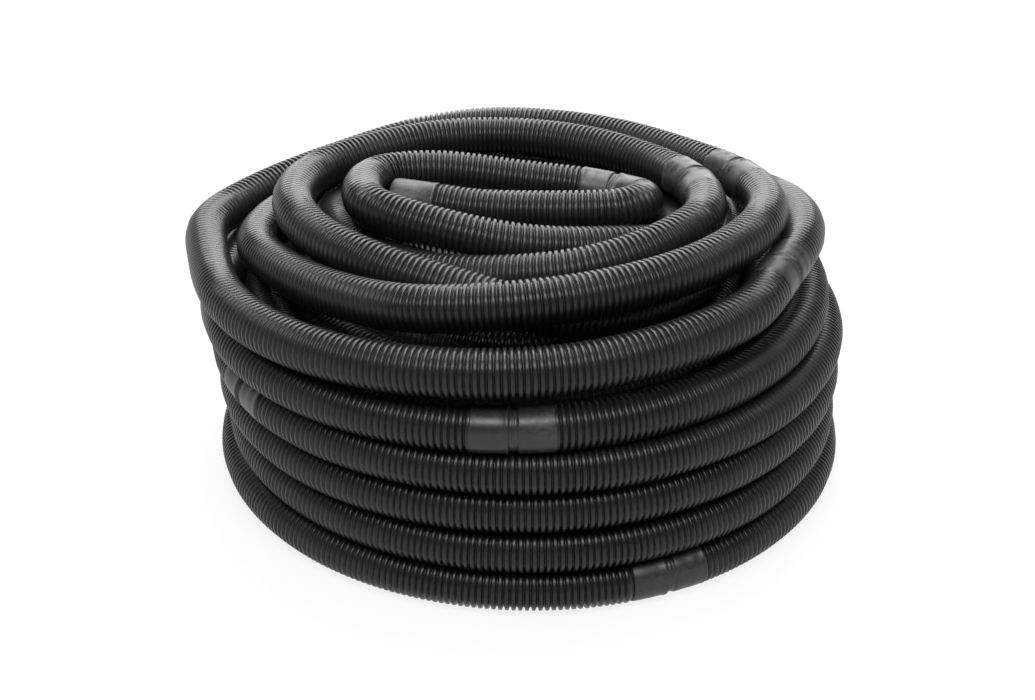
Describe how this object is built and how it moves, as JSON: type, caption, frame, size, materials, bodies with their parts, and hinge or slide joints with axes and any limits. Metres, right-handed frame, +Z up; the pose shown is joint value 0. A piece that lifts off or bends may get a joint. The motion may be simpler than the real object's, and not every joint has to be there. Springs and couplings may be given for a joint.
{
  "type": "pool hose",
  "caption": "Coil of black corrugated pool hose with smooth moulded cuffs, neat stacked turns below and loose turns winding in to a free end on top.",
  "frame": {"origin": "on the floor, in the middle of the coil's outline", "axes": "+Z up along the coil's axis, -Y towards the camera, +X to the camera's right"},
  "size_m": [0.7136, 0.6854, 0.3262],
  "materials": {
    "hose": "satin black corrugated plastic",
    "cuff": "smooth satin black moulded plastic"
  },
  "bodies": {
    "root": {"stacked_turns": "hose", "loose_turns": "hose", "end_cuff": "cuff"}
  },
  "joints": []
}
